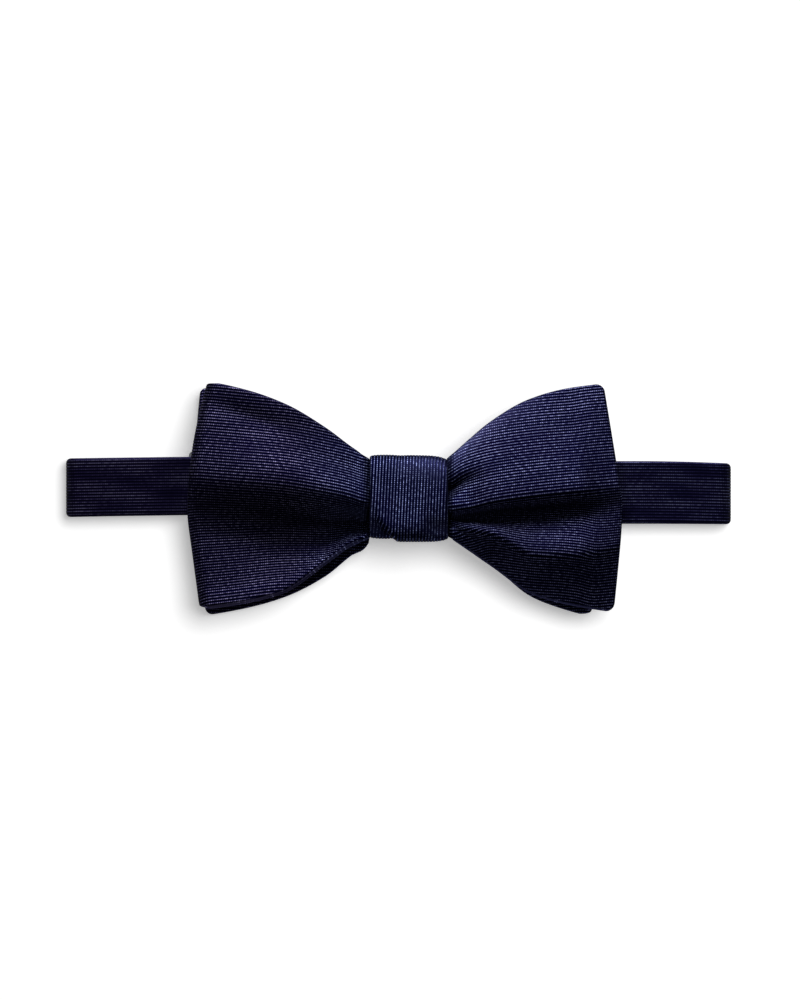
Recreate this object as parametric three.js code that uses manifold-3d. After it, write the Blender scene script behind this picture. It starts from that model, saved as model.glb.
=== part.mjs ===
// A pre-tied bow tie of ribbed navy silk, lying on its back with its neck strap fastened and laid flat.
// Millimetres. +X is to the right of the bow's front, +Y to its top and +Z out of its front, and the surface
// that it lies on is at z = 0.
import * as THREE from "three";
import { mergeVertices } from "three/addons/utils/BufferGeometryUtils.js";
import Module from "manifold-3d";

// Driving dimensions
const overallWidth = 186.2; // from fold to fold of the strap, which sets a collar of about 37 cm
const leftWingX = -59.1; // where the left wing bulges furthest
const rightWingX = 62.5;
const clothThick = 1.4; // two layers of silk and an interlining, as the bow and the knot are made
const strapThick = 1.2;
const seat = 0.3; // clearance between pieces that rest on each other

const knotCentreX = 2.9;
const knotWidth = 21.9; // along X
const knotHeight = 24.2; // along Y
const knotLeft = knotCentreX - knotWidth / 2;
const knotRight = knotCentreX + knotWidth / 2;

const shares = (count) => Array.from({ length: count + 1 }, (_, i) => i / count);
const mix = (a, b, f) => a + (b - a) * f;
const smooth = (f) => f * f * (3 - 2 * f);
const ramp = (value, from, to) => smooth(Math.min(1, Math.max(0, (value - from) / (to - from))));
const bump = (offset, halfWidth) => Math.exp(-((offset / halfWidth) ** 2));

// A monotone cubic curve through the values: its crests and hollows are level, and it never overshoots them.
function curveThrough(at, values) {
  const last = at.length - 1;
  const step = at.slice(1).map((a, i) => a - at[i]);
  const slope = step.map((h, i) => (values[i + 1] - values[i]) / h);
  const endTangent = (near, next) => {
    const reach = step[near] + step[next];
    const end = ((step[near] + reach) * slope[near] - step[near] * slope[next]) / reach;
    if (end * slope[near] <= 0) return 0;
    return Math.sign(end) * Math.min(Math.abs(end), 3 * Math.abs(slope[near]));
  };
  const tangent = values.map((_, i) => {
    if (i === 0) return endTangent(0, Math.min(1, last - 1));
    if (i === last) return endTangent(last - 1, Math.max(0, last - 2));
    if (slope[i - 1] * slope[i] <= 0) return 0;
    const before = 2 * step[i] + step[i - 1];
    const after = step[i] + 2 * step[i - 1];
    return (before + after) / (before / slope[i - 1] + after / slope[i]);
  });
  return (x) => {
    let i = 0;
    while (i < last - 1 && x > at[i + 1]) i++;
    const f = Math.min(1, Math.max(0, (x - at[i]) / step[i]));
    const pull = tangent[i] * f * (1 - f) ** 2 + tangent[i + 1] * f * f * (f - 1);
    return mix(values[i], values[i + 1], smooth(f)) + step[i] * pull;
  };
}

// A table of sections as curves along X, one for each of its named columns. The first column is x.
function curvesOf([names, ...rows]) {
  const column = (i) => rows.map((row) => row[i]);
  const curve = (name, i) => [name, curveThrough(column(0), column(i + 1))];
  return Object.fromEntries(names.slice(1).map(curve));
}

// A ply of cloth from a table of sections. Each section is a curve from its bottom edge, share 0, to its top
// edge, share 1, through the fold lines, which keep their shares of the way from one section to the next.
function plyOf(folds, table) {
  const curves = curvesOf(table);
  const at = Object.values(folds);
  return (x) => {
    const y = curveThrough(at, Object.keys(folds).map((fold) => curves[`${fold}Y`](x)));
    const z = curveThrough(at, Object.keys(folds).map((fold) => curves[`${fold}Z`](x)));
    return (share) => ({ y: y(share), z: z(share) });
  };
}

// The shares of a section's points: every fold line has one, and the others are spaced evenly between them.
const acrossSpans = 20;
function acrossOf(folds) {
  const at = Object.values(folds);
  const between = (from, to) => shares(Math.round((to - from) * acrossSpans)).map((f) => mix(from, to, f));
  return [0, ...at.slice(1).flatMap((to, i) => between(at[i], to).slice(1))];
}

// A closed sheet of cloth from the points of its middle surface, grid[i][j]. A ring closes on itself
// along i. The edges are thinner than the middle, as a turned and pressed seam is.
const edgeThinness = 0.45;
function clothGeometry(grid, thick, ring = false) {
  const rows = grid.length;
  const points = grid[0].length;
  const skinPoint = (i, j, side) => {
    const before = ring ? grid[(i + rows - 1) % rows] : grid[Math.max(0, i - 1)];
    const after = ring ? grid[(i + 1) % rows] : grid[Math.min(rows - 1, i + 1)];
    const along = after[j].clone().sub(before[j]);
    const across = grid[i][Math.min(points - 1, j + 1)].clone().sub(grid[i][Math.max(0, j - 1)]);
    const normal = along.cross(across).normalize();
    const onEdge = j === 0 || j === points - 1 || (!ring && (i === 0 || i === rows - 1));
    return grid[i][j].clone().addScaledVector(normal, (side * thick * (onEdge ? edgeThinness : 1)) / 2);
  };
  const positions = [];
  for (const side of [1, -1])
    for (let i = 0; i < rows; i++)
      for (let j = 0; j < points; j++) positions.push(...skinPoint(i, j, side).toArray());
  const front = (i, j) => (i % rows) * points + j;
  const back = (i, j) => front(i, j) + rows * points;
  const index = [];
  const quad = (a, b, c, d) => index.push(a, b, c, a, c, d);
  const spans = ring ? rows : rows - 1;
  const top = points - 1;
  for (let i = 0; i < spans; i++) {
    for (let j = 0; j < top; j++) {
      quad(front(i, j), front(i + 1, j), front(i + 1, j + 1), front(i, j + 1));
      quad(back(i, j), back(i, j + 1), back(i + 1, j + 1), back(i + 1, j));
    }
    quad(front(i, 0), back(i, 0), back(i + 1, 0), front(i + 1, 0));
    quad(front(i, top), front(i + 1, top), back(i + 1, top), back(i, top));
  }
  if (!ring)
    for (let j = 0; j < top; j++) {
      quad(front(0, j), front(0, j + 1), back(0, j + 1), back(0, j));
      quad(front(rows - 1, j), back(rows - 1, j), back(rows - 1, j + 1), front(rows - 1, j + 1));
    }
  const geometry = new THREE.BufferGeometry();
  geometry.setAttribute("position", new THREE.Float32BufferAttribute(positions, 3));
  geometry.setIndex(index);
  geometry.computeVertexNormals();
  return geometry;
}

// The bow. Each layer is one blade: its face crosses both wings, and one wing turns back as a loop whose
// rear ply ends inside the knot. The other wing is the blade's finished end.
const halfBlade = 31; // half the height of a wing's end
const bulgeRound = 3; // how far the bulge of a wing's end is rounded off
const flare = 1.1; // the cloth spreads to the knot's full height this far out of it
const neck = 1.4; // and rises to its own height this far out

const wingRoot = (end) => (end.tipX < 0 ? knotLeft : knotRight);

// Bends a straight section at x towards the shape of its wing's end, more the further out it is. The end is
// furthest out at bulgeY, and runs inwards above and below it.
function bentX(x, y, end) {
  const off = (Math.hypot(y - end.bulgeY, bulgeRound) - bulgeRound) / halfBlade;
  const { inset, power } = y > end.bulgeY ? end.above : end.below;
  const outwards = Math.max(0, (x - wingRoot(end)) / (end.tipX - wingRoot(end)));
  return x - Math.sign(end.tipX) * inset * off ** power * outwards;
}

// The places of the sections along a wing, from the knot to the place given
function wingStations(end, to, count) {
  const root = wingRoot(end);
  const out = Math.sign(end.tipX);
  return [root, root + out * flare, ...shares(count).map((f) => mix(root + out * neck, to, f))];
}

function bladeGeometry({ face, rear, folds, gathers, bladeEnd, loopEnd }) {
  const across = acrossOf(folds);
  const lift = (x, y) =>
    gathers
      .filter(({ end, reach }) => (x - wingRoot(end)) / (end.tipX - wingRoot(end)) < reach)
      .filter(({ end }) => Math.sign(x - knotCentreX) === Math.sign(end.tipX))
      .reduce((sum, { end, knotY, outY, lift, halfWidth, reach }) => {
        const f = Math.max(0, (x - wingRoot(end)) / (end.tipX - wingRoot(end))) / reach;
        return sum + lift * bump(y - mix(knotY, outY, f), halfWidth) * (1 - f) ** 2;
      }, 0);
  const facePoint = (x, share, end) => {
    const { y, z } = face(x)(share);
    return new THREE.Vector3(bentX(x, y, end), y, z + lift(x, y));
  };
  const rearPoint = (x, share) => {
    const { y, z } = rear(x)(share);
    return new THREE.Vector3(bentX(x, y, loopEnd), y, z);
  };
  const grid = [];

  // The finished end, with rounded corners
  const inwards = -Math.sign(bladeEnd.tipX);
  for (const back of [0, 0.3, 1]) {
    const trim = (bladeEnd.corner * (1 - Math.sqrt(1 - (1 - back) ** 2))) / (2 * halfBlade);
    const x = bladeEnd.tipX + inwards * bladeEnd.corner * back;
    grid.push(across.map((share) => facePoint(x, mix(trim, 1 - trim, share), bladeEnd)));
  }
  const bladeFrom = bladeEnd.tipX + inwards * 4.2;
  for (const x of wingStations(bladeEnd, bladeFrom, 10).reverse())
    grid.push(across.map((share) => facePoint(x, share, bladeEnd)));
  grid.push(across.map((share) => facePoint(knotCentreX, share, bladeEnd)));

  // The loop: out along the face, round its fold, and back along the rear ply
  const outwards = Math.sign(loopEnd.tipX);
  const foldX = loopEnd.tipX - outwards * (loopEnd.foldReach + clothThick / 2);
  for (const x of wingStations(loopEnd, foldX, 11))
    grid.push(across.map((share) => facePoint(x, share, loopEnd)));
  for (const turn of [1, 2, 3, 4].map((n) => (n * Math.PI) / 5))
    grid.push(
      across.map((share) => {
        const front = facePoint(foldX, share, loopEnd);
        const behind = rearPoint(foldX, share);
        const point = front.clone().lerp(behind, (1 - Math.cos(turn)) / 2);
        point.x += outwards * loopEnd.foldReach * Math.sin(turn);
        return point;
      }),
    );
  const rearEndX = mix(knotCentreX, loopEnd.tipX, 0.06);
  for (const x of [...wingStations(loopEnd, foldX, 8).reverse(), rearEndX])
    grid.push(across.map((share) => rearPoint(x, share)));
  return clothGeometry(grid, clothThick);
}

// The shapes of the four wing ends, seen from the front: how far each is set back at its two corners, and the
// power by which it gets there from the bulge. A finished end's corners are rounded, and a loop folds round.
const frontLoopEnd = {
  tipX: leftWingX,
  bulgeY: -4.6,
  above: { inset: 4.9, power: 2 },
  below: { inset: 4.8, power: 1 },
  foldReach: 2.6,
};
const frontBladeEnd = {
  tipX: rightWingX,
  bulgeY: -3,
  above: { inset: 4.9, power: 1 },
  below: { inset: 2.5, power: 1 },
  corner: 2.8,
};
const backBladeEnd = {
  tipX: -57.8,
  bulgeY: 4.5,
  above: { inset: 2.8, power: 1 },
  below: { inset: 3.2, power: 1.9 },
  corner: 2,
};
const backLoopEnd = {
  tipX: 58,
  bulgeY: 0,
  above: { inset: 3.3, power: 2 },
  below: { inset: 4.9, power: 2 },
  foldReach: 2.4,
};

// Fold lines of the front face: two lobes on each wing, with a valley between them, deepest near the knot
const lobeFolds = { bottom: 0, low: 0.17, valley: 0.33, ridge: 0.58, shoulder: 0.8, top: 1 };
// The plies behind only bow outwards at mid height.
const plainFolds = { bottom: 0, middle: 0.5, top: 1 };

const lobeNames = ["bottomY", "bottomZ", "lowY", "lowZ", "valleyY", "valleyZ", "ridgeY", "ridgeZ"];
const frontFace = plyOf(lobeFolds, [
  ["x", ...lobeNames, "shoulderY", "shoulderZ", "topY", "topZ"],
  [-59.6, -30.9, 12.6, -26.0, 12.2, -8.0, 11.4, 6.2, 14.8, 21.5, 12.6, 32.8, 12.0],
  [-46.4, -29.3, 13.2, -25.0, 12.4, -10.5, 10.8, 5.2, 17.0, 19.8, 14.0, 30.4, 13.2],
  [-33.7, -26.3, 13.0, -22.8, 12.3, -12.4, 10.4, 4.2, 18.4, 17.2, 14.9, 26.5, 13.2],
  [-20.9, -18.2, 12.6, -17.0, 12.0, -12.6, 10.6, 2.2, 18.6, 12.6, 14.7, 19.8, 12.8],
  [-13.6, -13.2, 12.3, -12.4, 12.1, -10.0, 11.0, 0.6, 18.4, 9.6, 14.8, 14.6, 12.8],
  [-10.5, -11.9, 12.1, -11.2, 12.1, -9.2, 11.2, -0.4, 18.3, 8.0, 15.1, 12.4, 13.0],
  [-9.45, -11.4, 11.9, -10.7, 12.0, -8.8, 11.2, -0.8, 18.1, 7.2, 15.2, 11.5, 13.2],
  [-9.15, -11.0, 11.6, -10.3, 11.8, -8.2, 11.2, -1.0, 15.5, 6.6, 13.2, 11.0, 11.2],
  [-8.0, -8.3, 11.5, -7.8, 11.7, -6.8, 11.2, -1.2, 14.7, 5.2, 13.0, 8.5, 11.5],
  [13.8, -8.7, 11.2, -6.5, 12.0, -5.0, 11.4, -2.8, 14.7, 4.0, 12.9, 6.6, 11.4],
  [14.95, -10.8, 11.3, -6.8, 12.8, -5.3, 11.5, -2.9, 15.5, 6.4, 13.5, 11.4, 11.4],
  [15.25, -10.6, 11.4, -7.0, 14.4, -5.4, 11.5, -2.8, 17.4, 7.4, 15.8, 11.6, 13.6],
  [20.0, -13.8, 11.4, -7.8, 15.2, -5.7, 12.1, -2.1, 18.0, 10.4, 15.4, 16.0, 12.8],
  [26.6, -19.1, 11.2, -10.1, 15.5, -6.2, 12.8, -0.3, 19.0, 13.4, 15.4, 21.4, 11.9],
  [38.7, -26.9, 10.6, -15.3, 15.6, -6.2, 13.4, 2.0, 19.4, 17.4, 15.3, 27.7, 11.5],
  [50.7, -30.0, 10.4, -15.4, 16.3, -4.8, 14.2, 3.3, 19.2, 19.8, 14.9, 30.8, 11.2],
  [62.7, -31.8, 10.8, -12.6, 15.9, -3.4, 14.6, 4.2, 17.4, 21.0, 13.6, 32.2, 10.6],
]);
const frontRear = plyOf(plainFolds, [
  ["x", "bottomY", "bottomZ", "middleY", "middleZ", "topY", "topZ"],
  [-59.2, -30.4, 6.4, 1.0, 9.2, 32.5, 6.4],
  [-46.4, -27.6, 6.2, 1.0, 8.8, 30.0, 6.2],
  [-33.7, -23.6, 6.6, 1.0, 8.5, 25.4, 6.4],
  [-20.9, -16.0, 7.6, 0.6, 8.9, 18.0, 7.6],
  [-9.15, -10.2, 9.0, 0.0, 9.5, 10.2, 9.0],
  [-8.0, -8.9, 9.4, 0.0, 9.5, 9.2, 9.4],
  [3.2, -9.3, 9.4, 0.0, 9.5, 9.3, 9.4],
]);
const backFace = plyOf(plainFolds, [
  ["x", "bottomY", "bottomZ", "middleY", "middleZ", "topY", "topZ"],
  [-58.2, -32.8, 4.0, 0.5, 7.4, 31.3, 4.2],
  [-46.4, -31.0, 4.0, 0.5, 7.0, 29.0, 4.2],
  [-33.7, -27.8, 4.4, 0.5, 6.6, 24.6, 4.6],
  [-20.9, -21.8, 5.4, 0.5, 6.6, 18.0, 5.4],
  [-13.6, -16.2, 6.2, 0.2, 7.0, 13.8, 6.2],
  [-9.15, -12.5, 6.8, 0.0, 7.5, 10.4, 6.8],
  [-8.0, -8.9, 7.2, 0.0, 7.6, 9.4, 7.2],
  [13.8, -9.4, 7.2, 0.0, 7.8, 8.2, 7.2],
  [14.95, -10.3, 7.2, 0.0, 8.0, 10.6, 7.2],
  [26.6, -18.4, 8.0, -0.5, 10.6, 20.2, 7.8],
  [38.7, -27.4, 8.4, -0.5, 11.8, 26.9, 7.6],
  [47.5, -30.5, 8.6, 0.0, 12.0, 29.0, 7.6],
  [57.4, -32.8, 8.8, 0.5, 11.8, 30.2, 7.8],
]);
const backRear = plyOf(plainFolds, [
  ["x", "bottomY", "bottomZ", "middleY", "middleZ", "topY", "topZ"],
  [3.2, -9.3, 5.6, 0.0, 5.6, 9.3, 5.6],
  [13.8, -9.3, 5.6, 0.0, 5.6, 8.2, 5.6],
  [14.95, -10.2, 5.6, 0.0, 5.7, 10.2, 5.6],
  [26.6, -18.0, 5.2, 0.5, 6.3, 20.0, 5.2],
  [38.7, -26.2, 4.4, 0.5, 6.6, 26.6, 4.4],
  [47.5, -29.8, 4.2, 0.5, 6.9, 28.8, 4.2],
  [57.4, -31.6, 4.6, 0.5, 7.4, 30.0, 4.6],
]);

// Small gathers where the front face enters the knot, from knotY at the knot to outY where they fade out.
// Reach is a share of the wing, and a hollow has a negative lift.
const frontGathers = [
  { end: frontBladeEnd, knotY: 2.2, outY: 11.0, lift: -1.8, halfWidth: 1.4, reach: 0.28 },
  { end: frontBladeEnd, knotY: -1.8, outY: -3.0, lift: 0.6, halfWidth: 1.8, reach: 0.25 },
  { end: frontBladeEnd, knotY: -8.8, outY: -13.0, lift: -0.9, halfWidth: 1.2, reach: 0.3 },
  { end: frontLoopEnd, knotY: 6.5, outY: 13.0, lift: -0.8, halfWidth: 2.4, reach: 0.4 },
  { end: frontLoopEnd, knotY: 12.5, outY: 14.0, lift: 0.6, halfWidth: 2.2, reach: 0.35 },
];

// The knot: a band wrapped round the gathered middle of both layers and the strap, a ring about the X axis
const knotRing = {
  centreY: 0.25,
  frontZ: 18.8,
  waistZ: 8.6, // where it is widest
  backZ: strapThick + seat,
  frontRoundness: 5, // exponents of its two superelliptical halves
  backRoundness: 6,
  frontLean: 0.38, // the front is fullest below its middle
  topFall: 0.8, // its top edge falls from left to right, most at the right corner
};
const knotTuck = { x: -0.8, slope: 0.9, depth: 0.5, halfWidth: 1.3, step: 0.9 }; // diagonal, low in front
const knotDimple = { x: 0.6, depth: 0.45, halfWidth: 1.6 }; // a hollow in the upper edge
const knotCorners = { fromX: 5, toX: 11, depth: 2.6, rise: 0.6 }; // the lower corners lie back
const edgeRoll = 0.035; // how much the band's two long edges turn in
const knotAround = 44;

function knotGeometry() {
  const grid = [];
  for (let i = 0; i < knotAround; i++) {
    const turn = (i / knotAround) * 2 * Math.PI;
    const inFront = Math.sin(turn) > 0;
    const power = 2 / (inFront ? knotRing.frontRoundness : knotRing.backRoundness);
    const superellipse = (v) => Math.sign(v) * Math.abs(v) ** power;
    const halfY = (knotHeight - clothThick) / 2;
    const reachZ = inFront ? knotRing.frontZ - knotRing.waistZ : knotRing.waistZ - knotRing.backZ;
    const y = halfY * superellipse(Math.cos(turn));
    const lean = inFront ? knotRing.frontLean : 0;
    const leaning = (1 - (lean * y) / halfY) / (1 + 0.56 * lean);
    const z = (reachZ - clothThick / 2) * leaning * superellipse(Math.sin(turn));
    const towardsFront = Math.max(0, Math.sin(turn) + 0.3);
    const upper = Math.max(0, Math.cos(turn));
    const lower = Math.max(0, -Math.cos(turn));
    grid.push(
      shares(8).map((f) => {
        const x = mix(knotLeft, knotRight, f);
        const tuckX = knotTuck.x - knotTuck.slope * (y + knotHeight / 2);
        const leftOfTuck = 1 - ramp(x, tuckX - 0.2, tuckX + 1.5);
        const rightCorner = ramp(x, knotCorners.fromX, knotCorners.toX);
        const inDimple = knotDimple.depth * bump(x - knotDimple.x, knotDimple.halfWidth);
        const dimple = inDimple * upper * towardsFront;
        const tuck = knotTuck.depth * bump(x - tuckX, knotTuck.halfWidth) * lower * towardsFront;
        const step = knotTuck.step * leftOfTuck * smooth(lower);
        const fall = knotRing.topFall * (0.5 * f + 1.4 * f ** 12) * smooth(upper);
        const rise = knotCorners.rise * f ** 12 * smooth(lower);
        const roll = edgeRoll * Math.abs(2 * f - 1) ** 6;
        const girth = 1 - roll - (dimple + tuck + step + fall + rise) / (knotHeight / 2);
        const inCorner = Math.max(leftOfTuck, rightCorner) * ramp(-y, 4, 10) * Math.max(0, Math.sin(turn));
        const height = knotRing.waistZ + z * girth - knotCorners.depth * inCorner;
        return new THREE.Vector3(x, knotRing.centreY + y * girth, height);
      }),
    );
  }
  return clothGeometry(grid, clothThick, true);
}

// The neck strap: one band, fastened. Its lower stretch lies on the surface, it folds over at both ends, and
// its upper stretch passes through the knot behind the bow, whose weight presses it down there.
const strapEnd = overallWidth / 2;
const strapLowZ = strapThick / 2;
const strapHighZ = 6.5; // middle of the upper stretch next to the folds
const strapFoldRadius = (strapHighZ - strapLowZ) / 2;
const strapFoldX = strapEnd - strapThick / 2 - strapFoldRadius;
const strap = curvesOf([
  ["x", "centreY", "width", "z"],
  [-strapEnd, 3.0, 16.5, strapHighZ],
  [-68, 3.4, 16.4, strapHighZ],
  [-58, 3.5, 16.4, 5.2],
  [-46, 3.4, 16.4, 4.7],
  [-30, 2.8, 16.4, 4.1],
  [-10, 0.9, 14.4, 3.9],
  [20, 0.9, 14.4, 3.9],
  [35, 1.6, 16.8, 4.2],
  [58, 1.7, 17.6, 5.4],
  [68, 1.7, 17.6, strapHighZ],
  [strapEnd, 1.3, 17.1, strapHighZ],
]);

// The clasp: one plain stamped plate with a slot at each end for the strap's tails
const clasp = { x: -52, length: 14, thick: 1, bar: 2, rail: 1.2, slot: 2.8, sideGap: 0.4 };
const claspCorner = 1.6;
const slotCorner = 0.4;
const tail = { length: 8, sewnFrom: 6, widthShare: 0.97, sink: 0.2 }; // each of the strap's ends
const tailRadius = clasp.thick / 2 + seat + strapThick / 2;
const claspZ = strapLowZ + tailRadius;

const strapShares = [0, 0.07, 0.93, 1]; // flat all over but for its two pressed edges
function strapRow(x, z, widthShare = 1) {
  const halfWidth = (strap.width(x) * widthShare) / 2;
  return strapShares.map((f) => new THREE.Vector3(x, strap.centreY(x) + mix(-halfWidth, halfWidth, f), z));
}

function strapGeometry() {
  const barFromCentre = clasp.length / 2 - clasp.bar;
  const stretch = (from, to, count, heightAt) =>
    shares(count).map((f) => strapRow(mix(from, to, f), heightAt(mix(from, to, f))));
  const fold = (side, up) =>
    [1, 2, 3, 4, 5, 6].map((n) => {
      const turn = (n * Math.PI) / 7;
      const height = strapFoldRadius * (1 - up * Math.cos(turn));
      return strapRow(side * (strapFoldX + strapFoldRadius * Math.sin(turn)), strapLowZ + height);
    });
  return clothGeometry(
    [
      ...stretch(clasp.x - barFromCentre, -strapFoldX, 6, () => strapLowZ),
      ...fold(-1, 1),
      ...stretch(-strapFoldX, strapFoldX, 28, strap.z),
      ...fold(1, -1),
      ...stretch(strapFoldX, clasp.x + barFromCentre, 12, () => strapLowZ),
    ],
    strapThick,
  );
}

// One of the strap's ends: up through a slot, back over the bar and sewn down on the strap. Away is its
// direction from the clasp along X.
function tailGeometry(away) {
  const barX = clasp.x + away * (clasp.length / 2 - clasp.bar);
  const topZ = claspZ + tailRadius;
  const sewnZ = strapThick * 1.5 - tail.sink;
  const path = [
    [barX + away * 1.2, strapLowZ + 0.02],
    [barX + away * 0.4, strapLowZ + 0.02],
  ];
  for (const f of shares(6)) {
    const turn = f * Math.PI;
    path.push([barX - away * tailRadius * Math.sin(turn), claspZ - tailRadius * Math.cos(turn)]);
  }
  for (const f of shares(5))
    path.push([barX + away * mix(clasp.bar + seat, tail.sewnFrom, f), mix(topZ, sewnZ, smooth(f))]);
  path.push([barX + away * tail.length, sewnZ]);
  const rows = path.map(([x, z]) => strapRow(x, z, tail.widthShare));
  return clothGeometry(away > 0 ? rows : rows.reverse(), strapThick);
}

// A rectangle with rounded corners, as the clasp's outline or a slot in it
function roundedRectangle(path, fromX, toX, halfY, round) {
  path.moveTo(fromX + round, -halfY);
  path.lineTo(toX - round, -halfY);
  path.quadraticCurveTo(toX, -halfY, toX, -halfY + round);
  path.lineTo(toX, halfY - round);
  path.quadraticCurveTo(toX, halfY, toX - round, halfY);
  path.lineTo(fromX + round, halfY);
  path.quadraticCurveTo(fromX, halfY, fromX, halfY - round);
  path.lineTo(fromX, -halfY + round);
  path.quadraticCurveTo(fromX, -halfY, fromX + round, -halfY);
  return path;
}

function claspGeometry() {
  const half = clasp.length / 2;
  const slotHalfY = strap.width(clasp.x) / 2 + clasp.sideGap;
  const outline = roundedRectangle(new THREE.Shape(), -half, half, slotHalfY + clasp.rail, claspCorner);
  for (const from of [clasp.bar - half, half - clasp.bar - clasp.slot]) {
    const slot = roundedRectangle(new THREE.Path(), from, from + clasp.slot, slotHalfY, slotCorner);
    outline.holes.push(slot);
  }
  const sheet = { depth: clasp.thick, bevelEnabled: false, curveSegments: 4 };
  const geometry = new THREE.ExtrudeGeometry(outline, sheet);
  return geometry.translate(clasp.x, strap.centreY(clasp.x), claspZ - clasp.thick / 2);
}

// Joins closed geometries that run into each other into one body.
const wasm = await Module();
wasm.setup();
function solidOf(geometry) {
  const bare = new THREE.BufferGeometry();
  bare.setAttribute("position", geometry.getAttribute("position"));
  bare.setIndex(geometry.index);
  const merged = mergeVertices(bare);
  const vertProperties = merged.getAttribute("position").array;
  const triVerts = new Uint32Array(merged.index.array);
  return new wasm.Manifold(new wasm.Mesh({ numProp: 3, vertProperties, triVerts }));
}
function joined(...geometries) {
  const mesh = geometries
    .map(solidOf)
    .reduce((whole, next) => whole.add(next))
    .getMesh();
  const geometry = new THREE.BufferGeometry();
  geometry.setAttribute("position", new THREE.BufferAttribute(mesh.vertProperties, 3));
  geometry.setIndex(new THREE.BufferAttribute(mesh.triVerts, 1));
  geometry.computeVertexNormals();
  return geometry;
}

const bowSilk = new THREE.MeshStandardMaterial({ color: 0x15163a, roughness: 0.6, metalness: 0 });
const strapSilk = new THREE.MeshStandardMaterial({ color: 0x100f26, roughness: 0.7, metalness: 0 });
const steel = new THREE.MeshStandardMaterial({ color: 0xb8babd, roughness: 0.35, metalness: 1 });

function piece(name, geometry, material) {
  const mesh = new THREE.Mesh(geometry, material);
  mesh.name = name;
  return mesh;
}

const frontEnds = { bladeEnd: frontBladeEnd, loopEnd: frontLoopEnd };
const backEnds = { bladeEnd: backBladeEnd, loopEnd: backLoopEnd };
const frontBow = { face: frontFace, rear: frontRear, folds: lobeFolds, gathers: frontGathers, ...frontEnds };
const backBow = { face: backFace, rear: backRear, folds: plainFolds, gathers: [], ...backEnds };

const tie = new THREE.Group();
tie.add(
  piece("front_bow", bladeGeometry(frontBow), bowSilk),
  piece("back_bow", bladeGeometry(backBow), bowSilk.clone()),
  piece("knot_band", knotGeometry(), bowSilk.clone()),
  piece("neck_strap", joined(strapGeometry(), tailGeometry(1), tailGeometry(-1)), strapSilk),
  piece("clasp", claspGeometry(), steel),
);

export default tie;
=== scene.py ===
import math

import bpy
import numpy as np
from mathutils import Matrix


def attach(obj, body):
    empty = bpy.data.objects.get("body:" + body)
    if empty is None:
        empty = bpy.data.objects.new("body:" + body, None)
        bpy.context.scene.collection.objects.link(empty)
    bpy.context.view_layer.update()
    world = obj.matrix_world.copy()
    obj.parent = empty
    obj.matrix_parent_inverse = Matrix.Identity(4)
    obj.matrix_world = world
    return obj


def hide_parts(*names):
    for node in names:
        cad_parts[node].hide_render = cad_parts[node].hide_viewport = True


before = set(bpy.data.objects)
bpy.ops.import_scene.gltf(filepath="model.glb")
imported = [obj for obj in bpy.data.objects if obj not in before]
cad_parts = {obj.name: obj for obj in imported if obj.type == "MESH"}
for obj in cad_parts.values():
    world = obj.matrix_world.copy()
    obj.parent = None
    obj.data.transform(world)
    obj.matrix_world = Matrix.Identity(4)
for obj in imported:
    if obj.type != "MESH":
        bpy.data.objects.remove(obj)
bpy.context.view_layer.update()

# front_bow
# The bow's front layer: one blade of ribbed navy silk over an interlining, seamed along its long edges.
# Its finished end is the right wing, and the left wing is a loop that turns back behind itself into the
# knot. Both wings are gathered where the knot holds them.
mm = 0.001
cloth_thick = 1.4
knot_left = -8.05
knot_right = 13.85
knot_centre = (knot_left + knot_right) / 2
flare = 0.3  # the cloth has widened this far outside the knot
half_blade = 31.0  # half the height of a wing's end
bulge_round = 3.0  # rounds the shape of the end at its bulge
across_count = 480
shares = np.linspace(0, 1, across_count)


def mix(a, b, share):
    return a + (b - a) * share


def smooth(share):
    return share * share * (3 - 2 * share)


def ramp(value, start, end):
    return smooth(np.clip((value - start) / (end - start), 0, 1))


def bump(offset, half_width):
    return np.exp(-((offset / half_width) ** 2))


def curve_through(at, values):
    """A monotone cubic curve: its crests and hollows are level, and it never overshoots the values."""
    at = np.array(at, float)
    values = np.array(values, float)
    step = np.diff(at)
    slope = np.diff(values) / step
    last = len(at) - 1
    tangent = np.zeros(len(at))
    for i in range(1, last):
        if slope[i - 1] * slope[i] > 0:
            before = 2 * step[i] + step[i - 1]
            after = step[i] + 2 * step[i - 1]
            tangent[i] = (before + after) / (before / slope[i - 1] + after / slope[i])
    for end, near, beyond in ((0, 0, min(1, last - 1)), (last, last - 1, max(0, last - 2))):
        reach = step[near] + step[beyond]
        pull = ((step[near] + reach) * slope[near] - step[near] * slope[beyond]) / reach
        if pull * slope[near] > 0:
            tangent[end] = math.copysign(min(abs(pull), 3 * abs(slope[near])), pull)

    def height(x):
        i = np.clip(np.searchsorted(at, x) - 1, 0, last - 1)
        f = np.clip((x - at[i]) / step[i], 0, 1)
        pull = tangent[i] * f * (1 - f) ** 2 + tangent[i + 1] * f * f * (f - 1)
        return mix(values[i], values[i + 1], smooth(f)) + step[i] * pull

    return height


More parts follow.
